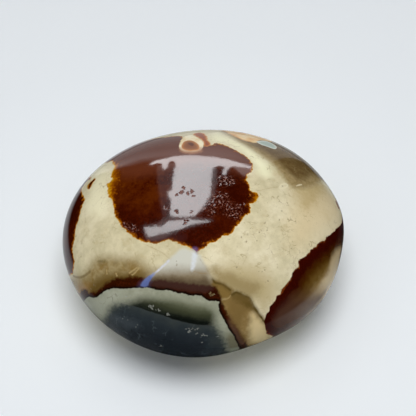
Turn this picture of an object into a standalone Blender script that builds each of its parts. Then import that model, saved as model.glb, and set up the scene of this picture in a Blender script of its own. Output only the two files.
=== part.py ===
"""A polychrome jasper palm stone: one polished pebble, resting on a small flat spot.

Metres, +Z up, with the long axis along X. The origin is on the surface that the stone rests on,
under the middle of its box. Headings are turned about Z from +X, and heights are above the girth.
"""

from math import acos, atan2, cos, exp, radians, sin

import bmesh
import bpy
from mathutils import Vector

# The pebble before it was worn: half of its length, width and thickness.
HALF_LENGTH = 0.0330
HALF_WIDTH = 0.0301
HALF_THICKNESS = 0.0190

# Seen from above it is a little three-cornered: how far the corners stand out, and where one is.
CORNER_RISE = 0.017
CORNER_HEADING = 25
CORNERS = 3

# Broad places where polishing left the stone flatter or fuller, as (heading, height, reach, rise):
# degrees for the first three, metres for the last.
WORN_PLACES = (
    (-79, -16, 19, -0.0008),
    (-40, -11, 28, 0.0011),
    (-4, 4, 15, 0.0008),
)

# What is ground off the underside so that the stone lies still.
REST_SPOT_DEPTH = 0.00045

# Splits of the starting ball: 5 gives 5120 flat facets about 2 mm across.
BALL_SPLITS = 5

CREAM_COLOUR = (0.58, 0.50, 0.31, 1.0)
POLISHED_ROUGHNESS = 0.12
JASPER_REFRACTION = 1.54


def clear_scene():
    for thing in list(bpy.data.objects):
        bpy.data.objects.remove(thing, do_unlink=True)


def polished_jasper():
    material = bpy.data.materials.new("polished_jasper")
    material.use_nodes = True
    shader = material.node_tree.nodes["Principled BSDF"]
    shader.inputs["Base Color"].default_value = CREAM_COLOUR
    shader.inputs["Roughness"].default_value = POLISHED_ROUGHNESS
    shader.inputs["Metallic"].default_value = 0.0
    shader.inputs["IOR"].default_value = JASPER_REFRACTION
    material.diffuse_color = CREAM_COLOUR
    return material


def direction(heading, height):
    """The unit vector that points at a heading and a height, both in degrees."""
    turn = radians(heading)
    lift = radians(height)
    return Vector((cos(lift) * cos(turn), cos(lift) * sin(turn), sin(lift)))


def worn_rise(towards):
    """How far polishing moved the surface in one direction, out or in."""
    rise = 0.0
    for heading, height, reach, most in WORN_PLACES:
        away = acos(max(-1.0, min(1.0, towards.dot(direction(heading, height)))))
        rise += most * exp(-((away / radians(reach)) ** 2))
    return rise


def pebble_point(towards):
    """The point of the pebble's surface that a direction from its middle belongs to."""
    turn = atan2(towards.y, towards.x)
    plan = 1 + CORNER_RISE * cos(CORNERS * (turn - radians(CORNER_HEADING)))
    smooth = Vector(
        (
            HALF_LENGTH * plan * towards.x,
            HALF_WIDTH * plan * towards.y,
            HALF_THICKNESS * towards.z,
        )
    )
    return smooth + worn_rise(towards) * towards


def palm_stone():
    shape = bmesh.new()
    bmesh.ops.create_icosphere(shape, subdivisions=BALL_SPLITS, radius=1.0)
    rest_level = REST_SPOT_DEPTH - HALF_THICKNESS
    for vertex in shape.verts:
        vertex.co = pebble_point(vertex.co.normalized())
        vertex.co.z = max(vertex.co.z, rest_level)
    across = [vertex.co.x for vertex in shape.verts]
    along = [vertex.co.y for vertex in shape.verts]
    middle = Vector(((min(across) + max(across)) / 2, (min(along) + max(along)) / 2, rest_level))
    bmesh.ops.translate(shape, verts=shape.verts, vec=-middle)

    mesh = bpy.data.meshes.new("palm_stone")
    shape.to_mesh(mesh)
    shape.free()
    mesh.shade_smooth()
    mesh.materials.append(polished_jasper())
    stone = bpy.data.objects.new("palm_stone", mesh)
    bpy.context.scene.collection.objects.link(stone)
    return stone


clear_scene()
palm_stone()
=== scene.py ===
"""Looks of the polychrome jasper palm stone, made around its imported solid."""

from math import cos, radians, sin

import bmesh
import bpy
import numpy as np
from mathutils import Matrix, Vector
from mathutils.bvhtree import BVHTree
from mathutils.kdtree import KDTree


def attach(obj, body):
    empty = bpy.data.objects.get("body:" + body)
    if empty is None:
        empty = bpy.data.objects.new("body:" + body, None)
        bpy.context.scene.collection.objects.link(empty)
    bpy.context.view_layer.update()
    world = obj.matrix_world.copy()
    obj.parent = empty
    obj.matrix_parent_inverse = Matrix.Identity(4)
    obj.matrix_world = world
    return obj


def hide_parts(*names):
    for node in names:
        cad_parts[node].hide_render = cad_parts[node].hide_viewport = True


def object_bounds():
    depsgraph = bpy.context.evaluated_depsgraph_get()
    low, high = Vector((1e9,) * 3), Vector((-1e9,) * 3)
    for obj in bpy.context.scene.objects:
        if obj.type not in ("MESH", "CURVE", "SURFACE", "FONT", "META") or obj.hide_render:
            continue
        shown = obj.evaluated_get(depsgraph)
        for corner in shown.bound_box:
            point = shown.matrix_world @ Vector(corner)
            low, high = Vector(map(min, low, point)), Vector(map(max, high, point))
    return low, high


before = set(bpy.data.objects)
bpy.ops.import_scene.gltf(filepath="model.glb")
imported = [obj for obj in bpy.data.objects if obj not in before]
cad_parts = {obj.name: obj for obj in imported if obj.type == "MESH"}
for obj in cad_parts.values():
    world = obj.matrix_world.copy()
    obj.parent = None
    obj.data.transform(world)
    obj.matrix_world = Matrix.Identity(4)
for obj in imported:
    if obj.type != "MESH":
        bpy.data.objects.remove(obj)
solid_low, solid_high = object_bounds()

MM = 0.001
SEED = 7
TINY = 1e-6

# The pebble, with the same sizes as its solid. Worn places are (heading, height, reach, rise).
HALF_SIZES = np.array([0.0330, 0.0301, 0.0190])
CORNER_RISE = 0.017
CORNER_HEADING = 25
CORNERS = 3
WORN_PLACES = (
    (-79, -16, 19, -0.0008),
    (-40, -11, 28, 0.0011),
    (-4, 4, 15, 0.0008),
)
REST_SPOT_DEPTH = 0.00045

# The camera of the photograph. It looks down at the stone from a little to the left of its front.
PHOTO_SIDE = 416
STONE_MIDDLE = (204, 243)
CAMERA_HEADING = 12.4
CAMERA_HEIGHT = 53
CAMERA_DISTANCE = 0.300
CAMERA_AIM = Vector((0.0028, 0.0093, 0.0180))
SENSOR_WIDTH = 36
LENS = 107.2

# How far a pixel just off the stone may be brought in, as shares of its way to the stone's middle.
INWARD = np.linspace(0, 0.1, 21)

# How finely the stone is meshed: splits of the starting ball, then how near to a marking's edge or a pit,
# in metres, a face is split again.
BALL_SPLITS = 7
EDGE_REACH = 0.5 * MM
PIT_REACH = 0.2 * MM

# How finely curves are drawn: steps between two points, and degrees between the points of an oval.
CURVE_STEPS = 3
OVAL_STEP = 30

# How far out from a marking its distance is worked out, in millimetres.
FARTHEST = 14.0

# The pits: their depth and reach for a radius, how uneven they are round about, and how steep.
PIT_DEPTH = 0.30
PIT_SPREAD = 1.5
PIT_LOBES = (0.28, 0.18)
PIT_STEEPNESS = 2.0

POLISHED_ROUGHNESS = 0.07
POLISH_WAVES = 0.006 * MM
PIT_ROUGHNESS = 0.45
JASPER_REFRACTION = 1.54


def directions(headings):
    """Unit vectors for (heading, height) pairs in degrees: headings turn about Z from +X."""
    turn, lift = np.radians(np.array(headings, float).T)
    return np.stack([np.cos(lift) * np.cos(turn), np.cos(lift) * np.sin(turn), np.sin(lift)], -1)


def unit(vectors):
    return vectors / np.linalg.norm(vectors, axis=-1, keepdims=True)


def sideways(towards):
    """Two directions at right angles to each given one and to each other."""
    side = unit(np.cross(towards, [0.31, 0.22, 0.92]))
    return side, np.cross(towards, side)


def raw_places(towards):
    """The pebble's surface in the given directions, before it is set down in the solid's box."""
    turn = np.arctan2(towards[:, 1], towards[:, 0])
    plan = 1 + CORNER_RISE * np.cos(CORNERS * (turn - radians(CORNER_HEADING)))
    places = towards * HALF_SIZES
    places[:, :2] *= plan[:, None]
    for heading, height, reach, most in WORN_PLACES:
        away = np.arccos(np.clip(towards @ directions([(heading, height)])[0], -1, 1))
        places += (most * np.exp(-((away / radians(reach)) ** 2)))[:, None] * towards
    places[:, 2] = np.maximum(places[:, 2], REST_SPOT_DEPTH - HALF_SIZES[2])
    return places


class Pebble:
    """The ball that the stone is made from, and the way from a direction to a place on the stone."""

    def __init__(self, low, high):
        self.ball = bmesh.new()
        bmesh.ops.create_icosphere(self.ball, subdivisions=BALL_SPLITS, radius=1.0)
        self.rough_towards = self.towards()
        raw = raw_places(self.rough_towards)
        self.raw_low = raw.min(0)
        self.low = np.array(low)
        self.scale = (np.array(high) - self.low) / (raw.max(0) - self.raw_low)
        self.faces = np.array([[vertex.index for vertex in face.verts] for face in self.ball.faces])
        self.tree = BVHTree.FromPolygons(self.places(self.rough_towards).tolist(), self.faces.tolist())

    def towards(self):
        return unit(np.array([vertex.co[:] for vertex in self.ball.verts]))

    def places(self, towards):
        return self.low + (raw_places(towards) - self.raw_low) * self.scale

    def facing(self, towards, step=1e-3):
        """The way that the surface faces in the given directions, from small steps to both sides."""
        side, other = sideways(towards)
        along = self.places(unit(towards + step * side)) - self.places(unit(towards - step * side))
        across = self.places(unit(towards + step * other)) - self.places(unit(towards - step * other))
        return unit(np.cross(along, across))

    def direction_of(self, place, face):
        """The direction that a place on one of the ball's faces belongs to."""
        corners = self.rough_towards[self.faces[face]]
        sums = np.vstack([self.places(corners).T, np.ones(3) * MM])
        shares = np.linalg.lstsq(sums, np.append(place, MM), rcond=None)[0]
        return unit(shares @ corners)


pebble = Pebble(solid_low, solid_high)


def camera_axes():
    turn, lift = radians(CAMERA_HEADING), radians(CAMERA_HEIGHT)
    back = Vector((-sin(turn) * cos(lift), -cos(turn) * cos(lift), sin(lift)))
    right = Vector((cos(turn), -sin(turn), 0))
    return right, back.cross(right), back


def seen(*pixels):
    """Directions of places on the stone, given as pixels of the 416-pixel view of the photograph.

    A pixel just off the stone is brought in towards its middle until it lies on it.
    """
    right, up, back = camera_axes()
    eye = CAMERA_AIM + CAMERA_DISTANCE * back
    per_pixel = SENSOR_WIDTH / LENS / PHOTO_SIDE
    found = []
    for pixel in pixels:
        for share in INWARD:
            x, y = np.array(pixel) + share * (np.array(STONE_MIDDLE) - pixel)
            across, down = (x - PHOTO_SIDE / 2) * per_pixel, (y - PHOTO_SIDE / 2) * per_pixel
            place, _, face, _ = pebble.tree.ray_cast(eye, (right * across - up * down - back).normalized())
            if place is not None:
                break
        else:
            raise ValueError(f"pixel {pixel} misses the stone")
        found.append(pebble.direction_of(place, face))
    return np.array(found)


def hidden(*headings):
    """Directions of places that the photograph doesn't show, as (heading, height) in degrees."""
    return directions(headings)


def smooth_line(points, closed):
    """A smooth curve through directions, as closer-set directions."""
    count = len(points)
    made = []
    for i in range(count if closed else count - 1):
        near = [j % count if closed else min(max(j, 0), count - 1) for j in range(i - 1, i + 3)]
        before, start, end, after = (points[j] for j in near)
        for t in np.arange(CURVE_STEPS) / CURVE_STEPS:
            made.append(
                start
                + 0.5 * (end - before) * t
                + (before - 2.5 * start + 2 * end - 0.5 * after) * t**2
                + 0.5 * (3 * start - 3 * end + after - before) * t**3
            )
    if not closed:
        made.append(points[-1])
    return unit(np.array(made))


def outline(*parts):
    return smooth_line(np.vstack(parts), closed=True)


def patch(*pixels):
    return outline(seen(*pixels))


def line(*parts):
    return smooth_line(np.vstack(parts), closed=False)


def streak(*pixels):
    return line(seen(*pixels))


def oval(x, y, half_width, half_height, tilt=0):
    """An oval outline round a pixel, with its half sizes in pixels and its tilt in degrees."""
    turns = np.radians(np.arange(0, 360, OVAL_STEP))
    across, down = half_width * np.cos(turns), half_height * np.sin(turns)
    lean = radians(tilt)
    return patch(*zip(x + across * cos(lean) - down * sin(lean), y + across * sin(lean) + down * cos(lean)))


def chart(towards, centre):
    """Directions laid out flat around one of them, so that an outline is a polygon there."""
    side, other = sideways(centre)
    reach = 1 + towards @ centre
    return np.stack([towards @ side, towards @ other], -1) / np.maximum(reach, TINY)[:, None]


def inside(ring, towards):
    """Which directions lie inside a closed outline of directions."""
    centre = unit(ring.mean(0))
    flat, corners = chart(towards, centre), chart(ring, centre)
    odd = np.zeros(len(towards), bool)
    for (x0, y0), (x1, y1) in zip(corners, np.roll(corners, -1, axis=0)):
        crosses = (y0 > flat[:, 1]) != (y1 > flat[:, 1])
        slope = (x1 - x0) / (y1 - y0) if y1 != y0 else 0.0
        odd ^= crosses & (flat[:, 0] < x0 + (flat[:, 1] - y0) * slope)
    return odd


class Stone:
    """The dense mesh of the stone while its markings are laid on it."""

    def __init__(self):
        self.towards = pebble.towards()
        self.places = pebble.places(self.towards)
        self.layers = {}

    def near(self, spots, reach):
        """Which places are within reach of a ball round some spots."""
        middle = spots.mean(0)
        span = np.linalg.norm(spots - middle, axis=1).max() + reach
        return np.flatnonzero(np.linalg.norm(self.places - middle, axis=1) < span)

    def away(self, towards, closed):
        """How far each place is from a line of directions, in millimetres, up to a limit."""
        spots = pebble.places(towards)
        ends = np.roll(spots, -1, axis=0) if closed else spots[1:]
        near = self.near(spots, FARTHEST * MM)
        places = self.places[near]
        nearest = np.full(len(near), (FARTHEST * MM) ** 2)
        for start, end in zip(spots, ends):
            along = end - start
            share = np.clip((places - start) @ along / max(along @ along, TINY**2), 0, 1)
            gap = places - start - share[:, None] * along
            nearest = np.minimum(nearest, np.einsum("ij,ij->i", gap, gap))
        found = np.full(len(self.places), FARTHEST)
        found[near] = np.sqrt(nearest) / MM
        return found

    def depth(self, ring):
        """Millimetres inside a closed outline, negative outside it."""
        away = self.away(ring, closed=True)
        return np.where(inside(ring, self.towards), away, -away)

    def area(self, name, rings):
        """A layer that says how deep inside any of some outlines each place is."""
        self.layers[name] = np.max([self.depth(ring) for ring in rings], axis=0)

    def stroke(self, name, lines):
        """A layer that says how far each place is from the nearest of some open lines."""
        self.layers[name] = np.min([self.away(towards, closed=False) for towards in lines], axis=0)

    def sink_pits(self, centres, radii, turns):
        """Dents the stone with small uneven pits, and lays a layer that is 1 in a pit and 0 outside."""
        facing = pebble.facing(self.towards)
        share = np.zeros(len(self.places))
        sunk = np.zeros(len(self.places))
        for centre, radius, (first, second) in zip(pebble.places(centres), radii, turns):
            near = self.near(centre[None], PIT_SPREAD * radius)
            offset = self.places[near] - centre
            side, other = sideways(facing[near[0]])
            angle = np.arctan2(offset @ side, offset @ other)
            uneven = PIT_LOBES[0] * np.sin(2 * angle + first) + PIT_LOBES[1] * np.sin(3 * angle + second)
            edge = radius * (1 + uneven)
            level = np.clip(PIT_STEEPNESS * (1 - np.linalg.norm(offset, axis=1) / edge), 0, 1)
            level = level * level * (3 - 2 * level)
            share[near] = np.maximum(share[near], level)
            sunk[near] = np.maximum(sunk[near], level * radius * PIT_DEPTH)
        self.places = self.places - sunk[:, None] * facing
        self.layers["pit"] = share


def dotted(spots, gap):
    """Spots along a line of spots, no further than a gap apart."""
    made = [spots[:1]]
    for start, end in zip(spots, spots[1:]):
        count = max(1, int(np.ceil(np.linalg.norm(end - start) / gap)))
        made.append(start + (end - start) * np.arange(1, count + 1)[:, None] / count)
    return np.vstack(made)


def refine(ball, spots, reach):
    """Splits the ball's faces that lie within reach of any of the places."""
    tree = KDTree(len(spots))
    for i, spot in enumerate(spots):
        tree.insert(spot, i)
    tree.balance()
    places = pebble.places(pebble.towards())
    near = {i for i, place in enumerate(places) if tree.find(place)[2] < reach}
    chosen = [edge for edge in ball.edges if edge.verts[0].index in near and edge.verts[1].index in near]
    bmesh.ops.subdivide_edges(ball, edges=chosen, cuts=1, use_grid_fill=True)
    bmesh.ops.triangulate(ball, faces=[face for face in ball.faces if len(face.verts) > 3])
    ball.verts.index_update()
    ball.verts.ensure_lookup_table()


# Sharp-edged markings. Where the photograph shows them they are read off it, pixel by pixel, and where
# it doesn't they go on by heading and height.
sharp_areas = {
    "brown": [
        # The large patch on top.
        outline(seen(
            (166, 137), (176, 136), (182, 136.5), (186, 140), (196, 144), (204, 144.5), (209, 144.5),
            (212, 145), (215, 143.3), (220, 143.5), (226, 145.5), (238, 151.5), (243, 154.5), (248, 158),
            (252, 162), (253.5, 166), (253, 169), (250.5, 172), (248, 175), (247, 180), (249, 184),
            (251, 191), (255, 192), (258, 194), (257.5, 200), (256, 202.5), (252, 204), (249, 203.5),
            (250, 206), (251, 210), (249, 214), (246, 215), (243, 218.5), (240, 222.5), (236, 226.5),
            (234, 230), (232, 233.5), (228, 235), (223, 235.5), (221, 238), (217, 241), (212, 242.5),
            (205, 247), (199, 251), (197, 253), (193, 249.5), (188, 247.5), (176, 242.5), (168, 240.5),
            (160, 243), (152, 243), (145, 242), (138, 239.5), (133, 236.5), (128, 232), (123, 228),
            (120, 224), (118, 220), (116, 218), (114.5, 213), (113.5, 207), (112, 200), (109, 197),
            (107.5, 192), (108, 188), (107, 184), (111, 182), (112, 179), (111, 176), (112, 172),
            (113, 169), (114, 166), (112, 163), (112, 161),
        ), hidden(
            (131, 29), (128, 24), (121, 23), (113, 27), (106, 33),
        )),
        # The band that goes over the left side.
        outline(seen(
            (92, 178), (88, 180.5), (84, 185), (81.5, 190), (82.5, 194), (85, 199), (83, 203), (82, 208),
            (80, 213), (78.5, 220), (76, 228), (75, 235), (74.5, 241), (73, 246), (72.6, 250), (73.5, 256),
            (74.5, 262), (73.5, 270), (72.3, 274.5),
        ), hidden(
            (-175, -3), (178, -14), (168, -22), (157, -24), (149, -16), (143, -4), (140, 10), (140, 22),
        )),
        # A fleck between the two.
        patch(
            (87, 188), (88, 184.5), (91, 181.5), (94, 178.5), (95.5, 179.3), (93.5, 182.5), (91.5, 186),
            (89, 189),
        ),
        # Patches behind and under the stone.
        outline(hidden(
            (60, -8), (66, 2), (75, 6), (84, 2), (92, 6), (101, 2), (106, -8), (103, -18), (108, -28),
            (101, -40), (90, -37), (80, -43), (69, -36), (64, -26), (57, -20),
        )),
        outline(hidden(
            (30, -58), (18, -66), (-2, -72), (-30, -70), (-34, -60), (-20, -52), (-4, -54), (12, -47),
            (26, -49),
        )),
        outline(hidden((170, -56), (156, -60), (150, -54), (158, -47), (168, -49))),
    ],
    "field": [outline(seen(
        (342, 220), (337, 228), (330, 235), (326, 237), (325, 240), (320, 241.5), (316, 246), (310, 251),
        (304, 258), (299, 260), (298, 267), (293, 271), (292, 276), (290, 280), (286, 284), (282, 289),
        (279.5, 295), (277, 296), (275, 301), (270, 307), (270, 310), (267, 314), (264.5, 322), (266, 331),
        (269, 335), (273, 336),
    ), hidden(
        (-71, -13), (-62, -24), (-46, -33), (-28, -34), (-10, -27), (4, -15), (9, -2), (4, 7),
    ))],
    "green": [
        # The eye in front.
        outline(seen(
            (83.5, 302), (86, 298.5), (89, 296.5), (92, 297.5), (96, 297.5), (99, 295.5), (102, 293),
            (106, 290.5), (111, 289), (113, 288), (120, 288.5), (130, 288.5), (140, 288), (146, 287.5),
            (152, 288.5), (160, 290.3), (168, 290.3), (173, 291.5), (178, 293.3), (185, 293.5),
            (190, 295.5), (200, 295.3), (205, 298.5), (210, 301), (215, 301), (219, 302), (218.6, 307),
            (220, 312), (222.8, 318), (226.8, 325), (230, 331), (233.6, 335.3), (235, 340), (238, 346),
        ), hidden(
            (-86, -17), (-91, -34), (-104, -47), (-126, -51), (-147, -43), (-160, -27), (-162, -10),
        )),
        # A small one behind.
        outline(hidden(
            (128, -6), (137, -10), (141, -20), (138, -32), (129, -40), (119, -36), (116, -24), (119, -12),
        )),
    ],
    "rim": [
        outline(seen(
            (150, 281), (156, 280.5), (165, 281), (175, 282), (195, 285), (203, 286), (209, 286.5),
            (213, 286.5), (216, 288), (219, 293), (221.5, 299), (223, 305), (227.5, 316), (230, 322),
            (233.5, 327), (237, 331), (243.5, 341.5), (245, 345),
        ), hidden(
            (-83, -14), (-81, -25), (-86, -40), (-91, -34), (-90, -20),
        ), seen(
            (232, 342), (226, 333), (221, 322), (216, 312), (212, 304), (200, 300), (185, 297), (155, 293),
            (147, 292), (130, 293), (115, 293), (106, 296), (100, 299), (96, 299), (92, 298.5),
            (88, 297.5), (89, 294), (93, 293.5), (97, 292), (100, 289.5), (109, 282), (113, 279.5),
            (119, 278), (125, 278.5), (131, 277), (137, 277.5), (141, 277.5), (145, 280),
        )),
        patch(
            (83, 302), (81, 299), (80, 295), (82, 291), (85, 289), (87.5, 290.5), (88.5, 293),
            (90.5, 295.5), (91, 298), (88, 299), (86, 300),
        ),
    ],
    "ring": [patch(
        (180.6, 141), (182.5, 138.5), (184.5, 136.6), (187.5, 135.6), (191, 135.2), (194, 136),
        (200, 139.6), (202.3, 141.5), (203.2, 144), (202.8, 147), (201, 149.5), (198.5, 151), (194, 152),
        (188, 152), (184, 151.5), (181, 150), (179.7, 148), (179.3, 146),
    )],
    "ring_middle": [patch(
        (182, 144.5), (183.5, 142), (186.5, 140.6), (190, 140.2), (193.5, 141), (196.5, 142.8),
        (198.8, 145), (199.6, 147.5), (198.8, 149.4), (195.5, 150.4), (190, 150.8), (185.5, 150.2),
        (182.6, 148.9), (181.4, 146.8),
    )],
    "orange_bit": [patch(
        (193, 134.3), (197, 132.8), (201, 132.6), (204.5, 134), (207, 137), (207.5, 140), (209.5, 142.5),
        (211, 144.5), (208, 146.5), (204, 146), (203.5, 142.5), (201, 139.7), (198, 137.6), (195, 136),
    )],
    "teal": [patch(
        (257, 141.8), (259.5, 140.5), (264, 140.6), (269, 142), (273, 143.8), (276, 146), (277, 148.3),
        (275, 149), (270, 147.6), (264, 145.6), (259.5, 143.8),
    )],
    "orange": [outline(seen(
        (221, 130.2), (229, 133.6), (236, 137), (243, 139.8), (250, 142), (256, 142.6), (261, 140),
        (270, 141.6),
    ), hidden(
        (43, 26), (46, 14), (44, 2), (50, -8), (60, -4), (68, 6), (80, 10), (88, 20), (80, 32),
    ))],
    # A thin streak, white towards its upper end and blue at its lower end, from the rim up towards the brown
    # patch.
    "white_blue_streak": [patch(
        (141, 285.5), (142.3, 283), (145, 279.5), (149, 276.3), (153.8, 273), (159.6, 268.3),
        (164.5, 263.8), (168.8, 259.8), (169.6, 260.6), (166, 264.6), (161.5, 268.6), (156.8, 272.4),
        (154, 275.5), (151.5, 278), (149.6, 281), (148, 284.5), (146, 286.5), (143, 286.6),
    )],
}

# Soft-edged areas of colour.
soft_areas = {
    "dark_zone": [outline(seen(
        (221, 130.6), (236, 140), (258, 153), (273, 164), (284, 177.5), (289, 184.5), (296, 188.5),
        (306, 188), (316, 184.5), (322, 178),
    ), hidden(
        (14, 20), (14, 5), (14, -12), (25, -20), (40, -14), (50, 0), (54, 14), (58, 28),
    ))],
    "dark_core": [outline(seen(
        (243, 140.3), (257, 147.5), (272, 156.5), (286, 169.5), (293, 175.5), (299, 180), (306, 178.5),
        (313, 174),
    ), hidden(
        (12, 18), (16, 3), (26, -6), (36, -2), (41, 12), (43, 26),
    ), seen(
        (271, 143.5), (260, 141), (250, 140.5),
    ))],
    "olive_fade": [patch(
        (278, 170), (291, 185), (300, 203), (307, 206), (315, 202), (325, 189), (313, 181), (303, 184),
        (290, 180),
    )],
    "warm_right": [patch(
        (300, 194), (312, 190), (326, 190), (335, 199), (339, 209), (341, 217), (336, 225), (306, 244),
        (294, 246), (290, 228), (293, 208),
    )],
    "bright_strip": [patch(
        (210, 136), (218, 133), (226, 136.5), (258, 155), (271, 168), (271, 176), (265, 177), (259, 173),
        (251, 160), (238, 149), (226, 143), (214, 141),
    )],
    "sliver": [patch((335.5, 201.5), (337, 201.5), (339.5, 206), (340, 209), (338.5, 209))],
    "shelf": [patch(
        (69, 278), (80, 275.5), (86, 271), (95, 258.5), (104, 256.5), (132, 257.5), (140, 260), (152, 270),
        (150, 279), (143, 286), (112, 292), (90, 303), (80, 304), (72, 296),
    )],
    "shelf_amber": [patch(
        (88, 291), (93, 283), (101, 277), (112, 274), (134, 272.5), (142, 272.5), (148, 277), (142, 286),
        (122, 290), (98, 298), (90, 298),
    )],
    "shelf_grey": [patch((80, 285), (88, 282.5), (92, 285), (91, 290), (84, 299), (78, 296), (77, 290))],
    "smudge": [oval(102, 261.5, 4.5, 1.6)],
    "left_pale": [patch(
        (98, 160), (106, 162), (108, 172), (106, 184), (107, 196), (106, 210), (100, 217), (92, 215),
        (87, 204), (90, 190), (94, 174),
    )],
    "triangle": [patch(
        (168, 260), (178, 251), (183, 248.7), (190, 250.5), (197, 254), (200, 255), (202, 259), (205, 265),
        (213.5, 280), (215, 286), (205, 288), (185, 286), (165, 284), (152, 283), (149, 280), (153, 274),
        (161, 268),
    )],
    "triangle_low": [patch(
        (150, 275), (158, 270.5), (182, 270), (205, 269), (212, 276), (217, 290), (200, 294), (170, 294),
        (150, 290), (146, 282),
    )],
    "triangle_foot": [patch(
        (148, 280), (157, 276.5), (172, 276.5), (197, 279.5), (206, 278), (217, 290), (200, 295),
        (170, 295), (147, 289),
    )],
    "strand": [patch((193, 250.5), (196, 251), (197, 256), (195, 266), (193, 270), (191, 269))],
    "gold_haze": [patch(
        (214, 270), (226, 265), (240, 265), (258, 268), (270, 277), (274, 290), (270, 304), (263, 312),
        (256, 304), (250, 297), (240, 291), (232, 290), (226, 285), (218, 280),
    )],
    "gold_wedge": [patch((213, 281), (221, 281.5), (233, 290), (230, 298.5), (219, 300), (213, 291))],
    "gold": [outline(seen(
        (231, 296), (236, 292.5), (240, 294), (245, 296.5), (249, 298), (251.5, 302), (254, 307),
        (262, 318.5), (265, 323), (266, 331), (269, 336),
    ), hidden(
        (-74, -12), (-78, -24), (-82, -24),
    ), seen(
        (240, 345), (229, 328), (220, 309), (219, 300), (226, 299),
    ))],
    "gold_dark": [patch(
        (226, 301), (232, 296), (240, 294.5), (249, 299), (251, 306), (246, 312), (242, 322), (238, 328),
        (231, 318),
    )],
    "gold_spot": [oval(247, 304, 4.5, 2.6, 35)],
    "gold_light": [patch(
        (252, 314), (259, 318), (264, 323), (267, 331), (270, 338), (263, 344), (255, 344), (250, 338),
        (250, 326),
    )],
    "gold_brown": [patch(
        (226, 311), (231, 316), (236, 325), (241, 332), (246, 341), (244, 348), (238, 340), (229, 324),
    )],
    "green_pale": [patch(
        (84, 302), (92, 297), (116, 290), (124, 293), (116, 300), (108, 306), (104, 314), (97, 314),
        (90, 308),
    )],
    "green_shade": [patch(
        (128, 303), (136, 300), (146, 298), (158, 298.5), (172, 298), (190, 300), (206, 304), (213, 310),
        (215, 318), (213, 326), (200, 330), (180, 328), (160, 322), (142, 316), (130, 308),
    )],
    "green_core": [
        outline(seen(
            (101, 323), (106, 317), (109, 311), (113.5, 306.5), (120, 304.5), (127, 304.5), (142, 308.5),
            (150, 311.5), (160, 314.5), (170, 318), (190, 323.5), (200, 325), (209, 325.5), (215, 327),
            (219, 332), (223, 338), (226, 345), (227, 350),
        ), hidden(
            (-91, -15), (-96, -32), (-108, -44), (-126, -47), (-143, -40), (-154, -26), (-154, -14),
        )),
        outline(hidden((132, -13), (137, -19), (134, -30), (128, -34), (122, -29), (123, -18))),
    ],
    "rim_haze": [patch(
        (149, 280), (165, 279), (185, 281), (202, 284), (213, 288), (206, 292), (185, 290.5), (165, 288),
        (151, 286),
    )],
    "rim_side": [patch((228, 322), (233, 324), (242, 337), (245, 343), (240, 345), (234, 336))],
    "fringe": [
        patch(
            (112, 160), (120, 164), (124, 172), (124, 180), (118, 195), (108, 200), (100, 188), (107, 166),
        ),
        oval(253.5, 198, 3.4, 3.8),
    ],
    "tongue_pale": [oval(250.5, 195, 1.6, 1.1)],
    "brown_haze": [patch((146, 240), (156, 232), (170, 233), (186, 237), (176, 243.5), (158, 245))],
    "violet_tip": [patch((192, 248.2), (196.5, 247), (199, 250), (198, 254), (194, 251.5))],
    # Greyish brown at the field's lower end, partly its own darker brown and partly painted reflection of
    # the floor.
    "field_dark_and_sheen": [outline(seen(
        (266, 314), (275, 304), (298, 290), (320, 286),
    ), hidden(
        (-40, 0), (-46, -8), (-56, -12), (-66, -14),
    ), seen(
        (280, 332), (272, 336), (266, 330),
    ))],
    "blue_streak_end": [patch((139, 288), (140.5, 283), (148, 278), (152, 279), (150, 283), (148, 288))],
    "brown_left": [patch(
        (110, 164), (124, 162), (140, 163), (156, 168), (164, 180), (164, 194), (156, 204), (144, 208),
        (118, 206), (111, 198), (108, 184),
    )],
    "pitted": [
        oval(226, 181, 9, 5),
        oval(221, 200, 10, 8),
        oval(233, 211, 11, 8, 20),
        oval(211, 207, 7, 9),
        oval(130, 228, 9, 4, 20),
    ],
    "ring_foot": [patch(
        (180, 147.5), (185, 150), (196, 150), (201, 147), (202, 151), (196, 153.5), (186, 153.5),
        (180, 151),
    )],
    "ring_spot": [oval(191, 144.2, 3.2, 1.8, 10)],
    "smoke": [patch(
        (214, 268), (224, 272), (234, 274), (244, 279), (254, 281), (260, 288), (254, 298), (244, 297),
        (236, 292), (230, 291), (220, 286), (214, 278),
    )],
    "green_corner": [patch((226, 336), (231, 333), (238, 336), (241, 346), (230, 349), (226, 343))],
    "field_pale": [outline(seen(
        (331, 260), (334, 253), (338, 249), (341, 248),
    ), hidden(
        (-24, 4), (-34, 0), (-44, -4),
    ), seen(
        (328, 285), (329, 272),
    ))],
    "gold_shade": [patch(
        (232, 295), (236, 292), (248, 297), (256, 309), (263, 319), (252, 311), (246, 308), (241, 303),
        (236, 301),
    )],
    # Painted reflection edge: a dark line along the top of the slate in the eye, where the stone stops
    # mirroring the lit floor.
    "green_reflection_edge": [oval(188, 320.5, 25, 3.2, 11)],
    "slate_light": [oval(126, 322, 15, 6, 22)],
    "brown_top": [outline(seen(
        (104, 172), (112, 177), (130, 177), (150, 175), (190, 164), (215, 164), (235, 172), (250, 178),
        (258, 168), (250, 158), (238, 149), (222, 141), (210, 141), (190, 134), (176, 133.5),
    ), hidden(
        (106, 33), (113, 27), (121, 23), (128, 24), (133, 29),
    ))],
}

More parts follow.
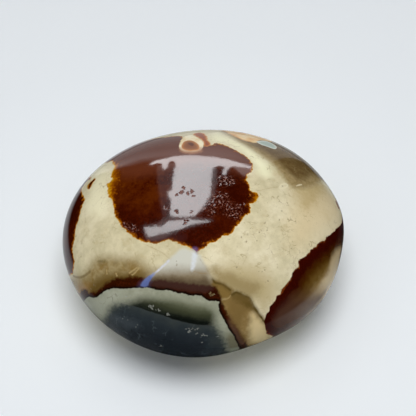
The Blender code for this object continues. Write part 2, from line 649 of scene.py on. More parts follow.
# Cracks, streaks and thin lines.
strokes = {
    "dark_crack": [
        streak((212.5, 279.5), (215.5, 283), (220, 283.5), (225, 286), (230, 290)),
        streak(
            (232, 295), (236, 292.5), (240, 294), (245, 296.5), (249, 298), (251.5, 302), (254, 307),
            (258, 313), (264.5, 322),
        ),
    ],
    "faint_crack": [
        streak((200, 259), (204, 265), (207, 270), (210, 274), (212.5, 279.5)),
        streak((146, 245), (151, 247), (161, 252), (166, 255.5), (169, 258.5)),
        streak((193, 271), (200, 273), (209, 273.5)),
        streak((256, 190.5), (262, 190), (270, 188), (279, 187)),
        streak((302, 186), (309, 183), (318, 181)),
        streak((247, 253), (246, 258), (243, 264)),
        line(hidden((150, 20), (156, 12), (160, 2), (167, -6), (166, -16))),
        line(hidden((20, -30), (28, -38), (40, -41), (48, -50), (60, -52))),
        line(hidden((-60, -50), (-76, -56), (-100, -60), (-130, -66), (-150, -60))),
    ],
    "pale_crack": [streak((230.5, 295.5), (228, 298.5), (223, 299.5))],
    "shelf_crack": [streak((73.5, 276), (79, 277.5), (85, 275.5), (90, 271.5))],
    "orange_line": [streak((223, 131), (238, 137.5), (245, 140.2), (250, 141.5))],
    "shelf_streak": [
        streak((129, 273), (133, 270.5), (137, 267.5)),
        streak((132, 275), (136, 272), (139, 268)),
        streak((106.5, 270), (107, 274)),
        streak((116, 273.5), (117, 276)),
    ],
    "pit_ring": [streak(
        (279.5, 187.8), (281.5, 184.6), (286, 183.8), (287.5, 185.5), (284.5, 188), (280.5, 188.6),
        (279.5, 187.8),
    )],
    "pale_dash": [streak((296.5, 186), (299, 185), (301.5, 184.6))],
}

# Pits that the polish left, in clusters: pixel, spread in pixels, and how many. Their radii are in
# millimetres.
LARGE_PITS = (
    (183.5, 188.3, 1.2, 3), (181.5, 192.3, 1.8, 5), (191.5, 191.5, 1.8, 5), (176.5, 195, 0.8, 2),
    (193.5, 196, 0.8, 2), (188, 194, 2.5, 2), (185, 222, 1.6, 3), (176, 212, 1.6, 3), (212, 294, 2.2, 5),
    (283, 186.3, 0.6, 1), (151, 307, 2, 3), (188, 331, 2, 2), (168, 315, 1.2, 2),
)
SMALL_PITS = (
    (223, 178, 4, 6), (229, 182, 5, 5), (218, 184, 3, 3), (222, 197, 6, 6), (212, 202, 4, 4),
    (232, 212, 6, 8), (240, 206, 5, 6), (228, 207, 5, 4), (212, 213, 3, 3), (238, 215, 3, 3),
    (127, 226, 4, 4), (133, 229, 4, 3), (191, 211, 2.5, 3), (165, 208, 3, 3), (151, 307, 3, 3),
    (158, 311, 2.5, 4), (188, 331, 3, 3), (195, 331, 4, 6), (202, 336, 3, 4), (206, 336, 2, 2),
    (125, 318, 4, 3), (137, 326, 2, 2), (161, 345, 2, 3), (203, 343, 2, 1), (217, 336, 1, 1),
    (303, 185.6, 0.6, 1), (262, 225, 8, 5), (283, 216, 6, 3), (250, 238, 10, 5), (263, 276, 7, 5),
    (239, 270, 4, 2), (292, 251, 4, 1), (102, 261, 3, 2), (180, 262, 5, 2), (92, 288, 4, 4),
    (126, 298, 5, 3),
)
HIDDEN_PITS = (
    (84, -6), (92, -14), (76, -24), (64, 8), (150, -8), (30, 12), (-20, -30), (-120, -38), (2, -40),
    (110, -52),
)
HIDDEN_COUNT = 5
HIDDEN_SPREAD = 0.035
LARGE_RADII = (0.18, 0.34)
SMALL_RADII = (0.07, 0.24)

# Where the mesh is split in a pit: shares of its radius, and degrees between the spots round it.
DENT_RINGS = (0.5, 1.0)
DENT_STEP = 45


def cluster(random, x, y, spread, count):
    """Directions of a few pits scattered round a pixel."""
    turns = random.uniform(0, 2 * np.pi, count)
    reaches = spread * np.sqrt(random.uniform(0, 1, count))
    return seen(*zip(x + reaches * np.cos(turns), y + reaches * np.sin(turns)))


def pit_places():
    random = np.random.default_rng(SEED)
    large = np.vstack([cluster(random, *spot) for spot in LARGE_PITS])
    small = [cluster(random, *spot) for spot in SMALL_PITS]
    for spot in HIDDEN_PITS:
        small.append(unit(directions([spot]) + random.normal(0, HIDDEN_SPREAD, (HIDDEN_COUNT, 3))))
    centres = np.vstack([large] + small)
    radii = random.uniform(*SMALL_RADII, len(centres)) * MM
    radii[: len(large)] = random.uniform(*LARGE_RADII, len(large)) * MM
    return centres, radii, random.uniform(0, 2 * np.pi, (len(centres), 2))


def dents(centres, radii):
    """Spots all over the pits, for the mesh to be split there."""
    middles = pebble.places(centres)
    side, other = sideways(pebble.facing(centres))
    made = [middles]
    for share in DENT_RINGS:
        for turn in np.radians(np.arange(0, 360, DENT_STEP)):
            made.append(middles + share * radii[:, None] * (cos(turn) * side + sin(turn) * other))
    return np.vstack(made)


pit_centres, pit_radii, pit_turns = pit_places()
pits = dents(pit_centres, pit_radii)
edges = [pebble.places(ring) for rings in sharp_areas.values() for ring in rings]
lines = [pebble.places(towards) for drawn in strokes.values() for towards in drawn]
for drawn, reach in ((edges + lines, EDGE_REACH), (lines, PIT_REACH)):
    refine(pebble.ball, np.vstack([dotted(spots, reach / 2) for spots in drawn] + [pits]), reach)
refine(pebble.ball, pits, PIT_REACH / 2)

stone = Stone()
for name, rings in {**sharp_areas, **soft_areas}.items():
    stone.area(name, rings)
for name, drawn in strokes.items():
    stone.stroke(name, drawn)
stone.sink_pits(pit_centres, pit_radii, pit_turns)


class Value:
    """A socket in a finish's nodes, so that sums on it read as plain arithmetic."""

    def __init__(self, finish, socket):
        self.finish = finish
        self.socket = socket

    def math(self, operation, *others):
        values = dict(enumerate((self, *others)))
        return self.finish.node("ShaderNodeMath", {"operation": operation}, values)

    def __add__(self, other):
        return self.math("ADD", other)

    def __sub__(self, other):
        return self.math("SUBTRACT", other)

    def __rsub__(self, other):
        return (self * -1) + other

    def __mul__(self, other):
        return self.math("MULTIPLY", other)

    __radd__ = __add__
    __rmul__ = __mul__

    def most(self, other):
        return self.math("MAXIMUM", other)

    def rise(self, low, high):
        """0 below low, 1 above high, and a smooth step between."""
        settings = {"interpolation_type": "SMOOTHSTEP"}
        values = {"Value": self, "From Min": low, "From Max": high}
        return self.finish.node("ShaderNodeMapRange", settings, values)

    def fall(self, low, high):
        return 1 - self.rise(low, high)


class Finish:
    """A material, and the one way in which its nodes are made."""

    def __init__(self, name):
        self.material = bpy.data.materials.new(name)
        self.material.use_nodes = True
        self.tree = self.material.node_tree
        self.shader = self.tree.nodes["Principled BSDF"]

    def node(self, kind, settings=None, values=None, result=0):
        made = self.tree.nodes.new(kind)
        for name, setting in (settings or {}).items():
            if name == "stops":
                self.set_stops(made.color_ramp, setting)
            else:
                setattr(made, name, setting)
        for key, value in (values or {}).items():
            self.feed(self.socket(made.inputs, key), value)
        return Value(self, self.socket(made.outputs, result))

    @staticmethod
    def socket(sockets, key):
        if isinstance(key, int):
            return sockets[key]
        return next(s for s in sockets if s.identifier == key or s.name == key)

    @staticmethod
    def set_stops(ramp, stops):
        while len(ramp.elements) > 1:
            ramp.elements.remove(ramp.elements[-1])
        for i, (place, colour) in enumerate(stops):
            element = ramp.elements[0] if i == 0 else ramp.elements.new(place)
            element.position = place
            element.color = (*colour, 1)

    def feed(self, socket, value):
        """Links a value to a socket or sets it there. Colours are given as screen colours, 0 to 255."""
        if isinstance(value, Value):
            self.tree.links.new(value.socket, socket)
        elif socket.type == "RGBA":
            socket.default_value = (*from_screen(*value), 1)
        else:
            socket.default_value = value

    def mark(self, name):
        """A layer that the mesh carries."""
        return self.node("ShaderNodeAttribute", {"attribute_name": name}, result="Fac")

    def blend(self, below, above, share, mode="MIX"):
        settings = {"data_type": "RGBA", "blend_type": mode, "clamp_factor": True}
        values = {"Factor_Float": share, "A_Color": below, "B_Color": above}
        return self.node("ShaderNodeMix", settings, values, result="Result_Color")

    def ramp(self, value, low, high, *colours):
        """Colours, evenly spaced or as (value, colour) pairs, for values from low to high."""
        count = len(colours)
        pairs = [
            c if len(c) == 2 else (low + (high - low) * i / (count - 1), c) for i, c in enumerate(colours)
        ]
        stops = [((at - low) / (high - low), from_screen(*colour)) for at, colour in pairs]
        share = (value - low) * (1 / (high - low))
        return self.node("ShaderNodeValToRGB", {"stops": stops}, {"Fac": share}, result="Color")

    def noise(self, place, size, detail=2.0, roughness=0.5, distortion=0.0):
        """Soft noise round 0, mostly within 0.25 of it, with lumps of about a size in millimetres."""
        values = {
            "Vector": place,
            "Scale": 1 / size,
            "Detail": detail,
            "Roughness": roughness,
            "Distortion": distortion,
        }
        return self.node("ShaderNodeTexNoise", None, values, result="Fac") - 0.5


def from_screen(red, green, blue):
    """A screen colour, 0 to 255, as the linear colour that shaders take."""
    levels = np.array([red, green, blue]) / 255
    return tuple(np.where(levels <= 0.04045, levels / 12.92, ((levels + 0.055) / 1.055) ** 2.4))


class Jasper(Finish):
    """The stone's finish: its colours are laid over each other, from the cream ground up."""

    def __init__(self):
        super().__init__("jasper")
        spot = self.node("ShaderNodeTexCoord", result="Object")
        self.place = self.node(
            "ShaderNodeVectorMath", {"operation": "SCALE"}, {0: spot, "Scale": 1 / MM}, result="Vector"
        )
        self.broad = self.noise(self.place, 8, detail=3)
        self.coarse = self.noise(self.place, 2.2, detail=3)
        self.ragged = self.noise(self.place, 1.1, detail=6, roughness=0.7)
        self.fine = self.noise(self.place, 0.6, detail=3, roughness=0.6)
        self.grain = self.noise(self.place, 0.22, detail=2, roughness=0.7)
        self.in_brown = self.mark("brown").rise(-0.05, 0.1)
        self.in_green = self.mark("green").rise(-0.05, 0.1)

        colour = self.cream()
        colour = self.lower_left(colour)
        colour = self.gold(colour)
        colour = self.cracks(colour)
        colour = self.orange(colour)
        colour = self.rim(colour)
        colour = self.green(colour)
        colour = self.field(colour)
        colour = self.brown(colour)
        colour = self.ring(colour)
        pit = self.mark("pit")
        colour, glint_speckle = self.pits(colour, pit)
        self.feed(self.shader.inputs["Base Color"], colour)
        roughness = pit.rise(0.1, 0.6).most(glint_speckle * 0.6) * PIT_ROUGHNESS + POLISHED_ROUGHNESS
        self.feed(self.shader.inputs["Roughness"], roughness)
        self.feed(self.shader.inputs["IOR"], JASPER_REFRACTION)
        waves = {"Height": self.noise(self.place, 0.9), "Distance": POLISH_WAVES, "Strength": 1.0}
        self.feed(self.shader.inputs["Normal"], self.node("ShaderNodeBump", None, waves, result="Normal"))

    def depth(self, name, coarse=1.0, fine=0.6):
        """How far inside a marking a place is, in millimetres, with a ragged edge."""
        return self.mark(name) + self.coarse * coarse + self.fine * fine

    def wash(self, colour, name, tint, soft, strength=1.0, coarse=1.0, fine=0.6):
        """Tints a marked area, its edge fading over a width in millimetres."""
        share = self.depth(name, coarse, fine).rise(-soft / 2, soft / 2)
        return self.blend(colour, tint, share * strength)

    def trace(self, colour, name, tint, width, strength=1.0):
        """Draws a marked line, with a wandering width in millimetres."""
        share = (self.mark(name) + self.fine * 0.3 + self.grain * 0.2).fall(width * 0.3, width)
        return self.blend(colour, tint, share * strength)

    def crack(self, colour, name, tint, width, strength):
        """A marked line that comes and goes, in a soft darker band."""
        band = (self.mark(name) + self.fine * 0.8).fall(0.1, 1.0) * 0.5
        colour = self.blend(colour, tint, band * strength)
        return self.trace(colour, name, tint, width, (self.coarse * 2 + strength).most(0.15))

    def cream(self):
        mottled = self.broad + self.coarse * 0.5 + self.ragged * 0.35
        colour = self.ramp(mottled, -0.2, 0.2, (211, 200, 162), (225, 214, 177), (237, 227, 194))
        dusty = self.noise(self.place, 3.2, detail=5, roughness=0.7).rise(0.04, 0.16)
        colour = self.blend(colour, (202, 184, 138), dusty * 0.35)
        colour = self.wash(colour, "warm_right", (234, 213, 168), soft=8, strength=0.7)
        colour = self.wash(colour, "bright_strip", (252, 248, 209), soft=3.4)
        colour = self.wash(colour, "left_pale", (250, 243, 206), soft=4, strength=0.85)
        colour = self.wash(colour, "olive_fade", (190, 165, 110), soft=6.0, strength=0.75, coarse=6, fine=3)
        streaky = self.coarse + self.ragged * 0.6
        streaky = self.ramp(streaky, -0.2, 0.2, (146, 126, 82), (164, 143, 99), (182, 161, 116))
        colour = self.blend(colour, streaky, self.depth("dark_zone", 1.4, 1.0).rise(-1.2, 1.0))
        umber = self.ramp(self.ragged, -0.2, 0.2, (98, 75, 42), (113, 90, 53), (130, 108, 68))
        colour = self.blend(colour, umber, self.depth("dark_core", 1.6, 1.0).rise(-1.6, 1.4))
        colour = self.specks(colour)
        return self.wash(colour, "sliver", (150, 100, 60), soft=0.5)

    def specks(self, colour):
        """Dark specks in loose groups, and hair cracks that come and go."""
        groups = self.noise(self.place, 4.5, detail=2).rise(-0.02, 0.14)
        speck = self.noise(self.place, 0.32, detail=3, roughness=0.8).rise(0.13, 0.2)
        colour = self.blend(colour, (130, 110, 66), speck * (groups * 0.7 + 0.2))
        colour = self.blend(colour, (152, 130, 84), self.hair(6, 2.5) * 0.6)
        return self.blend(colour, (168, 148, 104), self.hair(2.4, 3.5) * 0.4)

    def hair(self, size, gaps):
        """Hair cracks between cells of a size in millimetres, which come and go over another."""
        warp = {"Vector": self.place, "Scale": 3 / size}
        bend = self.node("ShaderNodeTexNoise", None, warp, result="Color")
        reach = (0.6 * size, 0.6 * size, 0.6 * size)
        bent = {0: bend, 1: reach, 2: self.place}
        bent = self.node("ShaderNodeVectorMath", {"operation": "MULTIPLY_ADD"}, bent, result="Vector")
        values = {"Vector": bent, "Scale": 1 / size}
        gap = self.node("ShaderNodeTexVoronoi", {"feature": "DISTANCE_TO_EDGE"}, values)
        return gap.fall(0.012 / size, 0.12 / size) * self.noise(self.place, gaps, detail=3).rise(0.02, 0.16)

    def lower_left(self, colour):
        tan = self.coarse + self.ragged * 0.6
        tan = self.ramp(tan, -0.2, 0.2, (136, 114, 68), (151, 130, 84), (168, 149, 104))
        on_shelf = self.depth("shelf", 1.2, 0.6).rise(-2.0, 2.0)
        colour = self.blend(colour, tan, on_shelf * 0.95)
        golden = self.noise(self.place, 2.6, detail=3, roughness=0.6).rise(-0.06, 0.12)
        colour = self.blend(colour, (134, 98, 30), golden * self.depth("shelf").rise(0.2, 2.4) * 0.5)
        colour = self.trace(colour, "shelf_crack", (112, 92, 50), width=0.45, strength=0.6)
        colour = self.wash(colour, "shelf_grey", (158, 122, 70), soft=2.0, strength=0.8)
        colour = self.wash(colour, "shelf_amber", (104, 80, 34), soft=2.8, strength=0.95, coarse=1.2)
        colour = self.wash(colour, "smudge", (108, 94, 48), soft=0.8, strength=0.7)
        colour = self.wash(colour, "triangle", (214, 213, 199), soft=1.0, coarse=0.4)
        colour = self.wash(colour, "triangle_low", (136, 119, 90), soft=4.0, strength=0.97)
        colour = self.wash(colour, "triangle_foot", (90, 74, 54), soft=1.8, strength=0.9)
        colour = self.wash(colour, "strand", (226, 231, 236), soft=0.8, strength=0.85, coarse=0.5)
        return self.trace(colour, "shelf_streak", (192, 168, 116), width=0.24, strength=0.6)

    def gold(self, colour):
        colour = self.wash(colour, "gold_haze", (189, 170, 123), soft=5, strength=0.8)
        colour = self.wash(colour, "smoke", (156, 136, 90), soft=3, strength=0.85, coarse=2, fine=1.2)
        colour = self.wash(colour, "gold_wedge", (132, 106, 56), soft=1.2)
        amber = self.coarse + self.ragged * 0.5
        amber = self.ramp(amber, -0.2, 0.2, (134, 108, 62), (150, 124, 76), (166, 140, 92))
        colour = self.blend(colour, amber, self.depth("gold", 0.4, 0.4).rise(-0.6, 0.4))
        colour = self.wash(colour, "gold_dark", (126, 101, 56), soft=2.4, strength=0.9)
        colour = self.wash(colour, "gold_spot", (98, 78, 30), soft=1.0, strength=0.6)
        colour = self.wash(colour, "gold_shade", (98, 78, 36), soft=1.4, strength=0.7, coarse=1.5, fine=1.2)
        colour = self.wash(colour, "gold_light", (230, 208, 156), soft=2.6, strength=0.9)
        return self.wash(colour, "gold_brown", (92, 64, 36), soft=1.4, strength=0.85)

    def orange(self, colour):
        peach = self.ramp(self.coarse, -0.2, 0.2, (236, 178, 110), (246, 205, 140), (250, 224, 172))
        colour = self.blend(colour, peach, self.depth("orange").rise(-0.35, 0.35))
        colour = self.trace(colour, "orange_line", (222, 150, 76), width=0.4, strength=0.6)
        teal = self.ramp(self.depth("teal"), 0, 1, (236, 236, 220), (196, 212, 200), (178, 196, 184))
        return self.blend(colour, teal, self.depth("teal", fine=0.2).rise(-0.1, 0.1))

    def rim(self, colour):
        depth = self.mark("rim") + self.coarse * 0.6 + self.ragged * 1.2 + self.fine * 0.8
        red = self.ramp(self.coarse + self.fine * 0.6, -0.25, 0.25, (40, 12, 3), (54, 18, 2), (68, 26, 8))
        red = self.wash(red, "rim_haze", (66, 42, 36), soft=1.4, strength=0.85)
        red = self.wash(red, "rim_side", (98, 72, 56), soft=2.0, strength=0.8)
        shadow = (self.mark("green") + self.coarse * 0.8 + self.fine * 0.6).rise(-0.75, -0.15)
        red = self.blend(red, (16, 8, 5), shadow * 0.9)
        colour = self.blend(colour, red, depth.rise(-0.6, 0.3))
        # The thin streak from the rim: white, turning blue at its lower end.
        blue = self.depth("blue_streak_end", coarse=0.6, fine=0.8)
        tip = self.ramp(blue, -2.2, 0.7, (220, 220, 225), (158, 162, 184), (116, 132, 182), (94, 112, 170))
        colour = self.blend(colour, tip, self.depth("white_blue_streak", coarse=0.2, fine=0.5).rise(-0.25, 0.15))
        return self.blend(colour, (98, 100, 140), blue.rise(-0.8, 0.6) * 0.25)

    def green(self, colour):
        depth = self.depth("green", coarse=0.4)
        mottled = self.broad * 0.5 + self.coarse * 0.5 + self.ragged * 0.5
        green = self.ramp(mottled, -0.25, 0.25, (140, 143, 122), (156, 158, 137), (174, 176, 156))
        green = self.wash(green, "green_pale", (178, 180, 161), soft=4, strength=0.8)
        green = self.wash(green, "green_corner", (120, 116, 92), soft=2)
        streaks = self.hair(1.8, 2.6) * self.mark("green_pale").rise(-1, 1)
        green = self.blend(green, (92, 92, 74), streaks * 0.6)
        core = self.mark("green_core") + self.coarse * 0.5 + self.fine * 0.4
        shade = self.ramp(
            core * -1, 0, 5.4,
            (0.0, (26, 30, 26)), (0.7, (36, 40, 31)), (1.4, (50, 53, 39)), (2.2, (62, 65, 46)),
            (3.1, (82, 85, 64)), (4.0, (112, 114, 92)), (5.4, (154, 156, 134)),
        )
        shaded = self.depth("green_shade", coarse=1.2).rise(-1.4, 1.4)
        green = self.blend(green, shade, shaded * core.rise(-5.4, -5.0))
        # Painted reflection edge: a dark line along the slate's top, where the stone stops mirroring the lit
        # floor.
        green = self.wash(green, "green_reflection_edge", (12, 16, 13), soft=1.6, strength=0.9, coarse=0.5)
        slate = self.mark("green_core") + self.broad * 6 + self.coarse * 3
        slate = self.ramp(slate, 0.5, 7, (58, 64, 63), (45, 52, 56), (37, 43, 48), (32, 38, 43))
        slate = self.wash(slate, "slate_light", (78, 86, 90), soft=4, strength=0.5, coarse=5, fine=3)
        slate = self.blend(slate, (112, 122, 124), self.hair(3.2, 3.0) * 0.35)
        crisp, soft = core.rise(-0.15, 0.15), (core + self.ragged * 1.8 + self.fine).rise(-1.5, 1.1)
        green = self.blend(green, slate, soft + (crisp - soft) * shaded)
        return self.blend(colour, green, depth.rise(-0.08, 0.08))

    def field(self, colour):
        depth = self.mark("field") + self.coarse * 0.3 + self.ragged * 0.9 + self.fine * 0.5
        far_in = self.mark("field") + self.coarse * 1.4 + self.broad * 1.5 + self.ragged * 1.2
        field = self.ramp(
            far_in, 0, 14,
            (0.0, (112, 50, 12)), (0.3, (58, 9, 2)), (2.0, (52, 8, 2)), (2.6, (62, 22, 3)),
            (3.9, (74, 42, 5)), (5.0, (96, 68, 24)), (6.0, (110, 84, 38)), (7.2, (148, 122, 76)),
            (8.5, (194, 170, 122)), (10.5, (214, 190, 142)), (14.0, (218, 195, 150)),
        )
        field = self.wash(field, "field_pale", (198, 174, 126), soft=2.4, strength=0.85)
        # Greyish brown at the field's lower end, partly its own darker brown and partly painted reflection
        # of the floor.
        hazy = self.depth("field_dark_and_sheen", coarse=1.5).rise(-1.5, 4.0)
        field = self.blend(field, (84, 56, 44), hazy * self.mark("field").rise(0.5, 3.5) * 0.9)
        return self.blend(colour, field, depth.rise(-0.07, 0.07))

    def brown(self, colour):
        depth = self.mark("brown") + self.coarse * 0.3 + self.ragged * 1.2 + self.fine * 0.7
        fringe = self.mark("fringe").rise(-1.5, 1.5)
        deep = depth * (1 - fringe * 0.79) * (self.ragged * 4 + 1)
        left = self.mark("brown_left").rise(-4, 4)
        mottled = self.broad * 0.8 + self.coarse * 0.5 + self.ragged * 0.7 + self.fine * 0.4
        mottled = mottled + left * 0.36 - 0.12
        body = self.ramp(mottled, -0.3, 0.3, (50, 8, 0), (66, 16, 1), (88, 34, 2))
        body = self.blend(body, (108, 54, 32), self.depth("brown_top").rise(-2.4, 2.4) * 0.8)
        fibres = self.noise(self.place, 1.4, detail=6, roughness=0.75, distortion=2).rise(0.06, 0.2)
        body = self.blend(body, (112, 58, 6), fibres * left * 0.5)
        edge = self.ramp(
            deep, 0, 0.8,
            (0.0, (218, 172, 50)), (0.07, (196, 138, 14)), (0.18, (164, 92, 4)), (0.36, (110, 49, 2)),
            (0.8, (76, 23, 2)),
        )
        brown = self.blend(edge, body, deep.rise(0.3, 0.9))
        patches = (self.ragged + self.coarse * 0.5).rise(0.02, 0.2) * fringe
        brown = self.blend(brown, (158, 88, 6), patches * 0.5)
        brown = self.wash(brown, "brown_haze", (72, 40, 40), soft=2, strength=0.4)
        brown = self.wash(brown, "tongue_pale", (214, 190, 130), soft=0.3)
        colour = self.blend(colour, brown, depth.rise(-0.08, 0.08))
        return self.wash(colour, "violet_tip", (96, 84, 140), soft=0.7, strength=0.75)

    def ring(self, colour):
        bit = self.mark("orange_bit") + self.fine
        bit = self.ramp(bit, 0, 0.7, (214, 146, 70), (176, 92, 30), (150, 70, 20))
        colour = self.blend(colour, bit, self.depth("orange_bit", coarse=0.4, fine=1.0).rise(-0.25, 0.2))
        band = self.coarse + self.fine * 0.5
        band = self.ramp(band, -0.2, 0.2, (240, 216, 166), (252, 238, 200), (255, 246, 216))
        colour = self.blend(colour, band, self.depth("ring", coarse=0.2, fine=0.3).rise(-0.2, 0.12))
        colour = self.wash(colour, "ring_foot", (176, 120, 82), soft=1.2, strength=0.85)
        middle = self.ramp(
            self.mark("ring_middle"), 0, 1.4,
            (0.0, (216, 150, 84)), (0.3, (184, 116, 60)), (0.7, (152, 94, 46)), (1.4, (138, 78, 36)),
        )
        middle = self.wash(middle, "ring_spot", (92, 42, 14), soft=0.5, strength=0.85)
        return self.blend(colour, middle, self.depth("ring_middle", coarse=0.2, fine=0.3).rise(-0.15, 0.15))

    def cracks(self, colour):
        colour = self.crack(colour, "faint_crack", (150, 124, 72), width=0.18, strength=0.12)
        colour = self.crack(colour, "dark_crack", (88, 70, 32), width=0.34, strength=0.7)
        colour = self.trace(colour, "pale_crack", (178, 154, 100), width=0.2, strength=0.5)
        colour = self.trace(colour, "pale_dash", (236, 224, 188), width=0.3, strength=0.8)
        return self.trace(colour, "pit_ring", (236, 226, 192), width=0.3, strength=0.8)

    def pits(self, colour, pit):
        """The pits' dull bottoms, their tint partly painted glint, and painted glints where they are too
        small to be dents.
        """
        # On the brown the pits' pinkish tint is partly their own colour and partly painted glint off their
        # walls.
        tint = self.blend((124, 104, 64), (134, 84, 70), self.in_brown)
        tint = self.blend(tint, (150, 152, 142), self.in_green)
        uneven = (self.grain * 1.5 + 0.6).most(0.1)
        colour = self.blend(colour, tint, pit.rise(0.1, 0.5) * uneven)
        groups = self.mark("pitted").rise(-0.8, 0.8) * self.coarse.rise(-0.25, 0.0)
        # Where the pits are too small to be dents: dark gaps, and pinkish painted glints off their rims.
        glint_and_gap_noise = self.noise(self.place, 0.4, detail=4, roughness=0.75)
        colour = self.blend(colour, (34, 8, 4), glint_and_gap_noise.fall(-0.1, -0.02) * groups * 0.85)
        glint_speckle = glint_and_gap_noise.rise(0.03, 0.12) * groups
        return self.blend(colour, (146, 92, 72), glint_speckle * 0.7), glint_speckle


def build_stone():
    ball = pebble.ball
    for vertex, place in zip(ball.verts, stone.places):
        vertex.co = place
    mesh = bpy.data.meshes.new("jasper_stone")
    ball.to_mesh(mesh)
    ball.free()
    for name, values in stone.layers.items():
        layer = mesh.attributes.new(name, "FLOAT", "POINT")
        layer.data.foreach_set("value", values.astype(np.float32))
    mesh.shade_smooth()
    mesh.materials.append(Jasper().material)
    made = bpy.data.objects.new("jasper_stone", mesh)
    bpy.context.scene.collection.objects.link(made)
    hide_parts("palm_stone")
    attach(made, "root")


build_stone()

# The floor, the light and the camera.

# The window over the stone, as pixels where the stone mirrors it. It is set up on a level plane.
WINDOW_RISE = 0.6
WINDOW_BRIGHTNESS = 7.9
WINDOW_PANES = (
    (
        (149, 165), (152, 162.5), (156, 160.8), (160, 159.7), (166, 158.2), (172, 156.8), (180, 155.7),
        (190, 155.2), (200, 155.6), (208, 156.3), (215, 157), (222, 158.2), (230, 160), (238, 162.3),
        (245, 164.5), (251.5, 167), (250, 168.3), (244, 167.5), (236, 166.3), (230, 167), (227.5, 170),
        (226, 174.5), (222.5, 174.5), (223, 170), (225, 166.5), (218, 166), (213.5, 168), (212, 175),
        (211, 185), (210, 195), (207, 201), (204, 206), (200, 210.5), (196, 215), (194, 216.5), (185, 217),
        (178, 216.8), (170, 216.5), (170.5, 208), (171, 200), (168.5, 197), (168, 192), (172, 189),
        (173, 180), (174, 172), (175.5, 165), (174.5, 161.5), (171, 160.5), (168.5, 163), (167, 167),
        (164.5, 170.5), (162.5, 168), (162, 163.5), (158, 163), (153, 164.5),
    ),
    (
        (144, 227.5), (150, 227), (154, 227), (156, 224.8), (158.5, 227), (161, 226.5), (166, 223.3),
        (170, 221), (180, 220.3), (190, 219.3), (200, 220.5), (208, 220.8), (210, 221.8), (200, 223),
        (190, 225.3), (183, 228), (178, 229.8), (170, 232), (160, 234), (152, 236.5), (148, 236.8),
    ),
)

# How bright the window is by the row of the view that it is mirrored at.
WINDOW_ROWS = (
    (155, 0.66), (159, 0.85), (166, 0.92), (186, 1.13), (200, 1.17), (216, 1.15), (220, 1.1), (228, 1.0),
    (234, 0.95),
)

# The dim frame round the window, mirrored in the same way: the brightness and the pixels of each part.
FRAME_RISE = 0.61
FRAME_PANES = (
    (0.9, (
        (165, 217), (212, 219), (214, 221), (204, 223.5), (192, 226.5), (180, 231), (168, 237), (158, 240.5),
        (150, 240.5), (145, 238), (143, 226), (158, 223),
    )),
    (0.9, ((210, 167), (217, 168), (217, 180), (215, 192), (210, 202), (203, 211), (198, 214))),
    (1.5, ((232, 162), (252, 165), (255, 170), (252, 176), (243, 175.5), (237, 171))),
    (0.45, ((157, 166), (174, 163), (172, 185), (172, 217), (163, 217), (160, 200), (158, 185))),
)

# A pale wall beyond the stone: how high it stands, in degrees, at headings right of the camera's, and how
# bright it is there.
WALL_TOPS = (
    (-30, -4, 1.0), (-28.7, -1, 1.0), (-26.7, 3.4, 1.0), (-24.6, 8, 0.85), (-21, 11, 0.75),
    (-18, 15, 0.8), (-13, 20, 0.8), (-8, 24, 0.9), (-2, 25, 1.1), (3, 26.5, 1.1), (9, 27.5, 1.05),
    (15, 29, 0.85), (20, 28, 0.7), (24, 26, 0.65),
)
WALL_FOOT = -28
WALL_DISTANCE = 2.5
WALL_FADE = 5
WALL_GLOW = 16
WALL_TOP_SHARE = 1.8
WALL_BRIGHTNESS = 0.62

# The soft light that falls on everything: the room, and round panels above as (heading, height, width,
# power), in degrees, metres and watts.
PANELS = (
    (262, 80, 0.32, 2.05),
    (230, 80, 1.00, 1.36),
)
PANEL_DISTANCE = 0.6
ROOM_BRIGHTNESS = 0.11
ROOM_TINT = (0.95, 0.97, 1.0, 1)
GLOW_TINT = (251.6, 252.7, 255)

# The bright part of the floor around the stone, as the stone mirrors it: how bright it is by distance in
# metres, and by heading in degrees.
SHEEN_RINGS = ((0.0, 1.0), (0.070, 1.0), (0.088, 0.0))
SHEEN_TURNS = (
    (-176, 0.5), (-170, 0.12), (-165, 0.1), (-155, 0.2), (-150, 0.14), (-144, 0.06), (-132, 0.08),
    (-125, 0.02), (-80, 0.02), (-66, 0.1), (-57, 0.22), (-50, 0.4), (-42, 0.6), (-36, 0.55), (-30, 0.35),
    (-24, 0.85), (-19, 0.8), (-13, 0.6), (-9, 0.45), (-3, 0.06), (2, 0.01), (10, 0.04), (16, 0.2),
    (21, 0.3), (60, 0.8), (126, 0.72), (147, 0.76), (160, 0.72), (180, 0.62),
)
SHEEN_LIFT = 0.0001
SHEEN_STEP = 6

FLOOR_WHITE = (246, 251, 255)
FLOOR_ROUGHNESS = 0.9
FLOOR_REACH = 3.0


def add_stage(name, points, faces, finish, shares=None):
    mesh = bpy.data.meshes.new(name)
    mesh.from_pydata(points, [], faces)
    mesh.materials.append(finish.material)
    if shares is not None:
        mesh.attributes.new("share", "FLOAT", "POINT").data.foreach_set("value", shares)
    made = bpy.data.objects.new(name, mesh)
    bpy.context.scene.collection.objects.link(made)
    return made


def only_mirrored(made):
    """Keeps a thing out of sight, and out of the light that falls on other things."""
    made.visible_camera = False
    made.visible_diffuse = False
    made.visible_transmission = False
    made.visible_shadow = False


def glow(name, brightness, shared=False):
    finish = Finish(name)
    finish.tree.nodes.remove(finish.shader)
    strength = finish.mark("share") * brightness if shared else brightness
    light = finish.node("ShaderNodeEmission", None, {"Color": GLOW_TINT, "Strength": strength})
    finish.tree.links.new(light.socket, finish.tree.nodes["Material Output"].inputs["Surface"])
    return finish


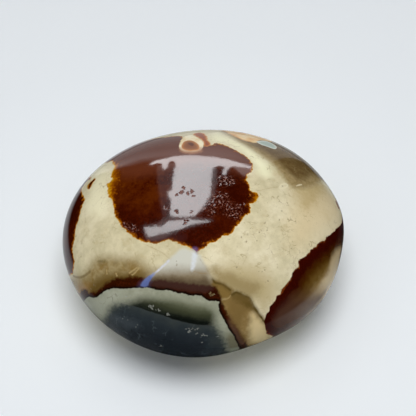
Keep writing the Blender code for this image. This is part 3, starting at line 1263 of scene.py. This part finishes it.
def add_floor():
    finish = Finish("pale_floor")
    finish.feed(finish.shader.inputs["Base Color"], FLOOR_WHITE)
    finish.feed(finish.shader.inputs["Roughness"], FLOOR_ROUGHNESS)
    corners = [(x * FLOOR_REACH, y * FLOOR_REACH, 0) for x, y in ((-1, -1), (1, -1), (1, 1), (-1, 1))]
    add_stage("floor", corners, [(0, 1, 2, 3)], finish).visible_glossy = False

    finish = Finish("floor_sheen")
    bright = finish.blend((0, 0, 0), FLOOR_WHITE, finish.mark("share"))
    finish.feed(finish.shader.inputs["Base Color"], bright)
    finish.feed(finish.shader.inputs["Specular IOR Level"], 0.0)
    turns = range(0, 360, SHEEN_STEP)
    by_turn = np.interp(turns, *zip(*SHEEN_TURNS), period=360)
    points = [
        (reach * cos(radians(turn)), reach * sin(radians(turn)), SHEEN_LIFT)
        for reach, _ in SHEEN_RINGS
        for turn in turns
    ]
    shares = [share * around for _, share in SHEEN_RINGS for around in by_turn]
    count = len(turns)
    faces = []
    for ring in range(len(SHEEN_RINGS) - 1):
        inner, outer = ring * count, (ring + 1) * count
        for i in range(count):
            after = (i + 1) % count
            faces.append((inner + i, inner + after, outer + after, outer + i))
    only_mirrored(add_stage("floor_sheen", points, faces, finish, shares))


def add_panes(name, panes, rise, brightness, rows=((0, 1.0),)):
    """Glowing panes on a level plane, placed so that the stone mirrors them at the given pixels."""
    eye = np.array(CAMERA_AIM + CAMERA_DISTANCE * camera_axes()[2])
    finish = glow(name, brightness, shared=True)
    for i, pixels in enumerate(panes):
        towards = seen(*pixels)
        places, facing = pebble.places(towards), pebble.facing(towards)
        look = unit(places - eye)
        bounce = look - 2 * np.einsum("ij,ij->i", look, facing)[:, None] * facing
        corners = places + (solid_high[2] + rise - places[:, 2:]) / bounce[:, 2:] * bounce
        shares = np.interp([y for _, y in pixels], *zip(*rows))
        face = tuple(range(len(corners)))
        only_mirrored(add_stage(f"{name}_{i}", corners.tolist(), [face], finish, shares))


def add_wall():
    right, _, back = camera_axes()
    away = Vector((-back.x, -back.y, 0)).normalized()
    middle = Vector((0, 0, solid_high[2] / 2))
    points, shares = [], []
    for heading, top, bright in WALL_TOPS:
        turn = radians(heading)
        heights = (WALL_FOOT, top - WALL_GLOW, top - WALL_FADE, top + WALL_FADE)
        for height, share in zip(heights, (bright, bright, WALL_TOP_SHARE * bright, 0)):
            lift = radians(height)
            towards = (right * sin(turn) + away * cos(turn)) * cos(lift) + Vector((0, 0, sin(lift)))
            points.append(middle + WALL_DISTANCE * towards)
            shares.append(share)
    faces = [
        (4 * i + row, 4 * i + row + 1, 4 * i + row + 5, 4 * i + row + 4)
        for i in range(len(WALL_TOPS) - 1)
        for row in range(3)
    ]
    finish = glow("wall_light", WALL_BRIGHTNESS, shared=True)
    only_mirrored(add_stage("wall", points, faces, finish, shares))


def add_room():
    for i, (heading, height, width, power) in enumerate(PANELS):
        panel = bpy.data.lights.new(f"panel_{i}", "AREA")
        panel.shape = "DISK"
        panel.size = width
        panel.energy = power
        made = bpy.data.objects.new(f"panel_{i}", panel)
        bpy.context.scene.collection.objects.link(made)
        towards = Vector(directions([(heading, height)])[0])
        made.location = PANEL_DISTANCE * towards
        made.rotation_euler = towards.to_track_quat("Z", "Y").to_euler()
        made.visible_glossy = False

    sky = bpy.data.worlds.new("room")
    bpy.context.scene.world = sky
    sky.use_nodes = True
    back = sky.node_tree.nodes["Background"]
    back.inputs["Color"].default_value = ROOM_TINT
    back.inputs["Strength"].default_value = ROOM_BRIGHTNESS
    sky.cycles_visibility.glossy = False


def add_camera():
    lens = bpy.data.cameras.new("camera")
    lens.lens = LENS
    lens.sensor_width = SENSOR_WIDTH
    made = bpy.data.objects.new("camera", lens)
    bpy.context.scene.collection.objects.link(made)
    _, _, back = camera_axes()
    made.location = CAMERA_AIM + CAMERA_DISTANCE * back
    made.rotation_euler = back.to_track_quat("Z", "Y").to_euler()
    bpy.context.scene.camera = made


add_floor()
add_panes("window", WINDOW_PANES, WINDOW_RISE, WINDOW_BRIGHTNESS, WINDOW_ROWS)
for i, (brightness, pane) in enumerate(FRAME_PANES):
    add_panes(f"frame_{i}", (pane,), FRAME_RISE, brightness)
add_wall()
add_room()
add_camera()
bpy.context.scene.view_settings.view_transform = "Standard"
